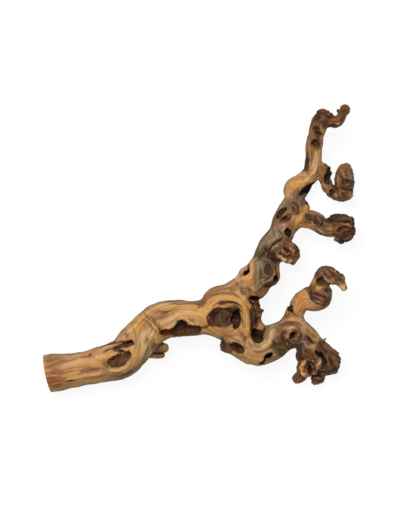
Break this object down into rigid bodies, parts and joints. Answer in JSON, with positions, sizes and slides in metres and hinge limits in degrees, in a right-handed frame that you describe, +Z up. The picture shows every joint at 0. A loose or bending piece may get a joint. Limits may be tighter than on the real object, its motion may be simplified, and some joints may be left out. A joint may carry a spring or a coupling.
{
  "type": "dry root",
  "caption": "Dry, cleaned piece of gnarled hardwood lying on its side: a sawn trunk with pockets that forks at a hollow hub into two crooked limbs with burls and knobs.",
  "frame": {"origin": "on the surface that the wood lies on, under the middle of its bounding box", "axes": "+X from the sawn end towards the limb tips, +Y towards the tip of the longer limb, +Z up from the surface"},
  "size_m": [0.4398, 0.3995, 0.0892],
  "materials": {
    "weathered_wood": "matte, bare and dry, streaked tan and grey-brown with dark pockets"
  },
  "bodies": {
    "root": {"dry_root": "weathered_wood"}
  },
  "joints": []
}
